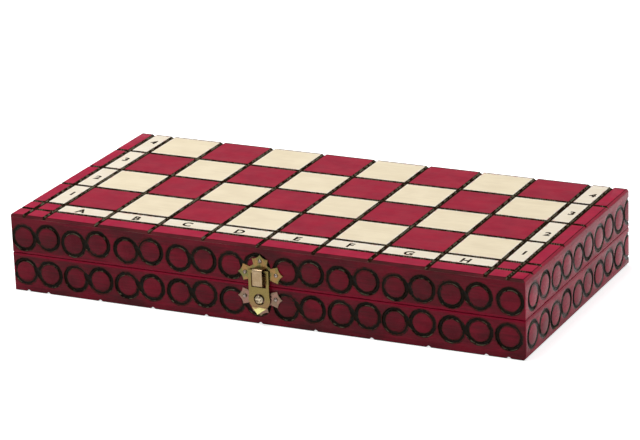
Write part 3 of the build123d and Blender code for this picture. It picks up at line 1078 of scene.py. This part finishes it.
@dataclass
class RingedWall:
    """A mitred wall of a tray with its row of burnt rings."""

    half: Half
    wall: Wall
    finishes: Finishes
    corner: float = 0.8
    groove: float = 2.35
    shallow: float = 0.4
    singe: float = 3.3
    singe_share: float = 0.05
    tilt: float = 3.6
    lit_top: float = 0.55
    stroke_width: float = 1.9
    stroke_depth: float = 0.8
    stroke_past: float = 1.0

    @property
    def front(self) -> bool:
        """Whether this is the front wall."""
        return self.wall is Wall.FRONT

    @property
    def row(self) -> RingRow:
        """The wall's rings."""
        return FRONT_ROW if self.front else SIDE_ROW

    def blank(self) -> Piece:
        """The plain wall: a block with round corners and an eased rim, sawn to its mitres."""
        low, high = self.half.level(PANEL), self.half.level(RIM)
        wall = Piece.block(f"{self.half.value}_{self.wall.name.lower()}_wall",
                           (-LENGTH / 2, -DEPTH / 2, low), (LENGTH / 2, DEPTH / 2, high))
        wall.bevel(upright, self.corner, CORNER_STEPS)
        wall.bevel(lambda middle, run: abs(run.z) < LYING and abs(middle.z - high) < SAME_PLACE, RIM_BAND, 2)
        x, y = self.wall.value
        wall.slice((x * (LENGTH / 2 - RAIL), y * (DEPTH / 2 - RAIL), 0), (-x, -y, 0))
        for end in (-1, 1):
            wall.slice(((x or end) * LENGTH / 2, (y or end) * DEPTH / 2, 0), (-x or end, -y or end, 0))
        return wall

    def seat(self, spot: Vector) -> Vector:
        """A place on the wall.

        Args:
            spot: Its distance from the wall's left end, seen from outside, and its height.

        Returns:
            The place.
        """
        x, y = self.wall.value
        if self.front:
            return Vector((spot.x - LENGTH / 2, y * DEPTH / 2, spot.y))
        return Vector((x * LENGTH / 2, x * (spot.x - DEPTH / 2), spot.y))

    def outside(self, place: Vector, by: float) -> Point:
        """A place moved straight out of the wall."""
        x, y = self.wall.value
        return (place.x + x * by, place.y + y * by, place.z)

    def hoop(self, name: str, thickness: float) -> Piece:
        """A hoop of the row's radius that stands as the wall does."""
        return Piece.hoop(name, self.row.radius, thickness, (90, 0, 0) if self.front else (0, 90, 0))

    def singes(self) -> list[Piece]:
        """Flat hoops that mark where the heat has browned the wood beside each ring."""
        hoop = self.hoop("singe", self.singe)
        hoop.flatten((1, self.singe_share, 1) if self.front else (self.singe_share, 1, 1))
        tools = [hoop.twin("singe", self.seat(spot)) for spot in self.row.places(self.half)]
        hoop.drop()
        return tools

    def rings(self) -> list[Piece]:
        """The tools of the burnt rings and of the strokes that join them in pairs."""
        spots = self.row.places(self.half)
        hoop = self.hoop("ring", self.groove)
        tools = []
        for n, spot in enumerate(spots):
            ring = hoop.twin("ring", (0, 0, 0))
            ring.tilt(self.tilt * math.sin(2.3 * n + spot.y), "X" if self.front else "Y")
            ring.tilt(self.tilt * math.cos(3.1 * n + spot.y), "Z")
            ring.move(self.outside(self.seat(spot), self.shallow))
            tools.append(ring)
        hoop.drop()
        wide, deep = self.stroke_width, self.stroke_depth
        for left, right in zip(spots[::2], spots[1::2]):
            top, foot = (self.seat(end) for end in self.row.stroke(left, right))
            run = top - foot
            lean = math.degrees(math.atan2(run.x if self.front else -run.y, run.z))
            reach = run.length / 2 + self.stroke_past
            blot = Piece.ball("stroke", (wide, deep, reach) if self.front else (deep, wide, reach),
                              (0, lean, 0) if self.front else (lean, 0, 0))
            blot.move((top + foot) / 2)
            tools.append(blot)
        return tools

    def build(self) -> None:
        """Make the wall, burn its rings and paint highlights on the burnt faces that look up."""
        wall = self.blank()
        # The side walls get the stain's copy painted lighter (painted light), the front wall its copy
        # painted darker (painted shade).
        stain, bare = self.finishes.side, self.finishes.wood_across
        if self.front:
            stain, bare = self.finishes.front, self.finishes.wood_along
        wall.paint(stained(self.half, self.wall.value, self.finishes, stain, bare))
        wall.carve(self.singes(), self.finishes.singed)
        wall.carve(self.rings(), self.finishes.burnt)
        # Painted highlight on the burnt faces that look up towards the top lamp.
        wall.paint(lambda middle, normal: self.finishes.groove_painted_highlights if normal.z > self.lit_top else None,
                   over=self.finishes.burnt)
        wall.finish(self.half.body, "stained_wall", f"{self.half.value}_{self.wall.name.lower()}_rail")


@dataclass
class Lining:
    """The felt glued in the bottom of a tray."""

    half: Half
    finishes: Finishes
    length: float = LENGTH - 2 * RAIL
    depth: float = DEPTH - 2 * RAIL
    thickness: float = 0.9
    clear: float = 0.03
    columns: int = 110
    rows: int = 52
    hills: float = 20.0
    sway: float = 0.12

    def build(self) -> None:
        """Lay the sheet, give it a soft surface and its thickness."""
        Piece.clear()
        level = self.half.level(PANEL + self.thickness / 2 + self.clear)
        bpy.ops.mesh.primitive_grid_add(x_subdivisions=self.columns, y_subdivisions=self.rows, size=1,
                                        location=(0, 0, level * MM))
        bpy.context.object.scale = (self.length * MM, self.depth * MM, 1)
        felt = Piece.taken(f"{self.half.value}_felt_lining")
        clouds = bpy.data.textures.new("felt_hills", "CLOUDS")
        clouds.noise_scale = self.hills * MM
        felt.modify("DISPLACE", texture=clouds, strength=self.sway * MM, mid_level=0.5,
                    direction="Z", texture_coords="LOCAL")
        felt.modify("SOLIDIFY", thickness=self.thickness * MM, offset=0.0)
        felt.weld()
        felt.coat(self.finishes.felt)
        felt.finish(self.half.body, "felt", f"{self.half.value}_felt", smooth=60)


@dataclass
class LatchNails:
    """The three round-headed nails of a latch plate."""

    name: str
    body: str
    nodes: str
    x: float
    height: float
    way: int
    finishes: Finishes
    side: float = 10.5
    end: float = 8.0
    radius: float = 1.3
    crown: float = 0.8
    brim: float = 0.75
    shank: float = 6.0
    bright: float = -0.62

    def build(self) -> None:
        """Turn one domed head on its shank and set three of them."""
        head = Piece.ball("nail", (self.radius, self.radius, self.crown), (90, 0, 0))
        head.slice((0, 0, 0), (0, 1, 0))
        head.pick("FACE", lambda middle, normal: normal.y > FACING)
        bpy.ops.mesh.inset(thickness=self.brim * MM)
        bpy.ops.mesh.extrude_region_move(TRANSFORM_OT_translate={"value": (0, self.shank * MM, 0)})
        head.weld()
        wall = -DEPTH / 2 - LATCH_SHEET
        seats = [(self.x - self.side, wall, self.height), (self.x + self.side, wall, self.height),
                 (self.x, wall, self.height + self.way * self.end)]
        first, *others = [head.twin(self.name, seat) for seat in seats]
        head.drop()
        first.join(others)
        first.solid.name = self.name
        # Faces that look out get bright steel; the head's sides are painted almost black, a painted shadow
        # ring.
        first.paint(lambda middle, normal: self.finishes.steel if normal.y < self.bright
                    else self.finishes.painted_shadow_ring)
        first.finish(self.body, "nail_steel", self.nodes)


@dataclass
class Latch:
    """The stamped hasp latch: two star plates, the tongue, the dome and the swinging hasp."""

    finishes: Finishes
    plates_front: float = -DEPTH / 2 - LATCH_SHEET - 0.2
    tab_top: float = 11.7
    crown: float = -0.55
    eased: float = 0.14

    def upper_plate(self) -> None:
        """The plate on the lid with the tongue pressed out of it."""
        plate = Piece.copied("upper_plate_and_tongue", "latch_upper_plate")
        plate.ease(self.eased)
        plate.paint(lambda middle, normal: self.finishes.tongue if middle.y < self.plates_front
                    else self.finishes.lobes)
        plate.finish("lid_box", "latch_brass", "latch_upper_plate")

    def lower_plate(self) -> None:
        """The plate on the lower tray, whose dome has a crown with painted highlights on a stem painted dark
        as shadow in the hasp's hole.
        """
        plate = Piece.copied("lower_plate_and_dome", "latch_lower_plate")
        plate.ease(self.eased, sharper=50.0)
        # Dome faces that do not look out are painted almost black: painted shadow round the stem.
        plate.paint(lambda middle, normal: self.finishes.pink if middle.y > self.plates_front
                    else self.finishes.dome if normal.y < self.crown else self.finishes.painted_shadow_ring)
        plate.finish("base_box", "latch_plate_pink", "latch_lower_plate", smooth=45)

    def hasp(self) -> None:
        """The swinging hasp with its bent finger tab."""
        hasp = Piece.copied("swinging_hasp", "latch_hasp")
        hasp.ease(self.eased)
        # The finger tab below tab_top gets the painted-highlight brass.
        hasp.paint(lambda middle, normal: self.finishes.tab if middle.z < self.tab_top
                   else self.finishes.brass)
        hasp.finish("hasp", "latch_brass", "latch_hasp")

    def build(self) -> None:
        """Make the plates, the hasp and the nails."""
        self.upper_plate()
        self.lower_plate()
        self.hasp()
        LatchNails("latch_upper_nail_heads", "lid_box", "latch_upper_nails", 1.2, 33.4, 1,
                   self.finishes).build()
        LatchNails("latch_lower_nail_heads", "base_box", "latch_lower_nails", 0.35, 17.6, -1,
                   self.finishes).build()


def dress(node: str, body: str, slot: str, finish: Material, eased: float) -> None:
    """Copy one of the frame's plain pieces with its edges eased, and let the copy stand for it.

    Args:
        node: The frame's node.
        body: The body that the piece rides on.
        slot: The record's material slot.
        finish: The piece's finish.
        eased: How wide its edges are eased.
    """
    piece = Piece.copied(f"{node}_eased", node)
    piece.ease(eased)
    piece.coat(finish)
    piece.finish(body, slot, node)


@dataclass
class Joinery:
    """The plain pieces of one tray: its back wall and the notched slats, the slats with eased edges."""

    half: Half
    finishes: Finishes
    eased: float = 0.35

    def build(self) -> None:
        """Ease and dress the slats, and dress the back wall without easing it."""
        tray, body = self.half.value, self.half.body
        dress(f"{tray}_long_slat", body, "bare_wood", self.finishes.wood_along, self.eased)
        for n in (1, 2, 3):
            dress(f"{tray}_cross_slat_{n}", body, "bare_wood", self.finishes.wood_across, self.eased)
        wall = Piece.copied(f"{tray}_back_rail_eased", f"{tray}_back_rail")
        wall.paint(stained(self.half, (0, 1), self.finishes, self.finishes.back, self.finishes.wood_along))
        wall.finish(body, "stained_wall", f"{tray}_back_rail")


@dataclass
class Hinges:
    """The two brass butt hinges: leaves, pins and the nails that hold them in both trays."""

    finishes: Finishes
    leaf_eased: float = 0.12
    nail_eased: float = 0.1

    def build(self) -> None:
        """Ease and dress every piece."""
        for side in ("left", "right"):
            for part, body in (("base_leaf", "base_box"), ("lid_leaf", "lid_box"), ("pin", "base_box")):
                dress(f"{side}_hinge_{part}", body, "hinge_brass", self.finishes.hinge, self.leaf_eased)
        for half in Half:
            dress(f"{half.value}_hinge_nails", half.body, "nail_steel", self.finishes.steel,
                  self.nail_eased)


@dataclass(frozen=True)
class Lamp:
    """A soft rectangular lamp: its place, aim and size are in metres and its power is in watts."""

    name: str
    place: Point
    aim: Point
    size: Spot
    power: float

    def hang(self) -> None:
        """Hang the lamp and turn it towards its aim."""
        data = bpy.data.lights.new(self.name, "AREA")
        data.shape, data.size, data.size_y, data.energy = "RECTANGLE", *self.size, self.power
        lamp = bpy.data.objects.new(self.name, data)
        lamp.location = self.place
        lamp.rotation_euler = (Vector(self.aim) - Vector(self.place)).to_track_quat("-Z", "Y").to_euler()
        bpy.context.scene.collection.objects.link(lamp)


@dataclass
class Studio:
    """Floor, background, soft lamps and the camera."""

    eye: Point = (843.09, -1720.17, 712.99)
    turn: Point = (70.5905, 2.0241, 25.4071)
    lens: float = 180.273
    sensor: float = 36.0
    clip: Spot = (0.05, 50.0)
    floor_side: float = 12.0
    floor_drop: float = 0.2
    floor_colours: tuple[Colour, Colour] = ((0.47, 0.47, 0.47), (0.52, 0.52, 0.52))
    floor_glow: float = 0.75
    ambient: float = 0.16
    lamps: tuple[Lamp, ...] = (
        Lamp("top_softbox", (-0.4, 0.0, 1.5), (0, 0, 0), (1.3, 1.0), 21.0),
        Lamp("right_softbox", (1.5, 0.5, 0.7), (0, 0, 0.02), (0.9, 0.6), 4.0),
    )

    def camera(self) -> None:
        """Set the camera where the photograph was taken from."""
        data = bpy.data.cameras.new("camera")
        data.lens, data.sensor_width = self.lens, self.sensor
        data.clip_start, data.clip_end = self.clip
        camera = bpy.data.objects.new("camera", data)
        camera.location = metres(self.eye)
        camera.rotation_euler = radians(self.turn)
        bpy.context.scene.collection.objects.link(camera)
        bpy.context.scene.camera = camera

    @staticmethod
    def seen(tree: bpy.types.NodeTree) -> Socket:
        """1 where a camera, glossy or transmission ray looks, else 0.

        Args:
            tree: The node tree that asks.

        Returns:
            The answer's socket.
        """
        path = tree.nodes.new("ShaderNodeLightPath")
        total = path.outputs["Is Camera Ray"]
        for name in ("Is Glossy Ray", "Is Transmission Ray"):
            larger = tree.nodes.new("ShaderNodeMath")
            larger.operation = "MAXIMUM"
            tree.links.new(total, larger.inputs[0])
            tree.links.new(path.outputs[name], larger.inputs[1])
            total = larger.outputs[0]
        return total

    def background(self) -> None:
        """White to the eye and in reflections, and a dim even light for the rest."""
        world = bpy.data.worlds.new("studio")
        world.use_nodes = True
        bpy.context.scene.world = world
        tree = world.node_tree
        shader = tree.nodes["Background"]
        strength = tree.nodes.new("ShaderNodeMapRange")
        strength.inputs["To Min"].default_value = self.ambient
        strength.inputs["To Max"].default_value = 1.0
        tree.links.new(self.seen(tree), strength.inputs["Value"])
        tree.links.new(strength.outputs[0], shader.inputs["Strength"])
        shader.inputs["Color"].default_value = (1, 1, 1, 1)

    def floor(self) -> None:
        """A pale floor that is white to the eye and keeps a soft shadow."""
        floor = Piece.start("floor", bpy.ops.mesh.primitive_plane_add, size=self.floor_side,
                            location=(0, 0, -self.floor_drop * MM))
        graph = Graph("floor_paper")
        grain = graph.span(graph.cloud(300.0, 1.0), 0.2, 0.8, 0.0, 0.15)
        seen = self.seen(graph.material.node_tree)
        colour = graph.mix(seen, graph.mix(grain, *self.floor_colours), (1.0, 1.0, 1.0))
        graph.settle(colour, 0.9, Specular_IOR_Level=0.0, Emission_Color=(1.0, 1.0, 1.0),
                     Emission_Strength=graph.maths("MULTIPLY", seen, self.floor_glow))
        floor.coat(graph.material)

    def build(self) -> None:
        """Set up the whole studio."""
        self.camera()
        self.background()
        self.floor()
        for lamp in self.lamps:
            lamp.hang()
        bpy.context.scene.view_settings.view_transform = "Standard"


def main() -> None:
    """Build the studio and every piece of the box, in order."""
    logging.basicConfig(level=logging.INFO, format="%(name)s %(message)s")
    Studio().build()
    finishes = Finishes()
    Chessboard(Half.LID, finishes, "1234").build()
    Chessboard(Half.BASE, finishes, "8765").build()
    for half in Half:
        for wall in Wall:
            RingedWall(half, wall, finishes).build()
        Lining(half, finishes).build()
        Joinery(half, finishes).build()
    Hinges(finishes).build()
    Latch(finishes).build()
    Piece.clear()


if __name__ == "__main__":
    main()
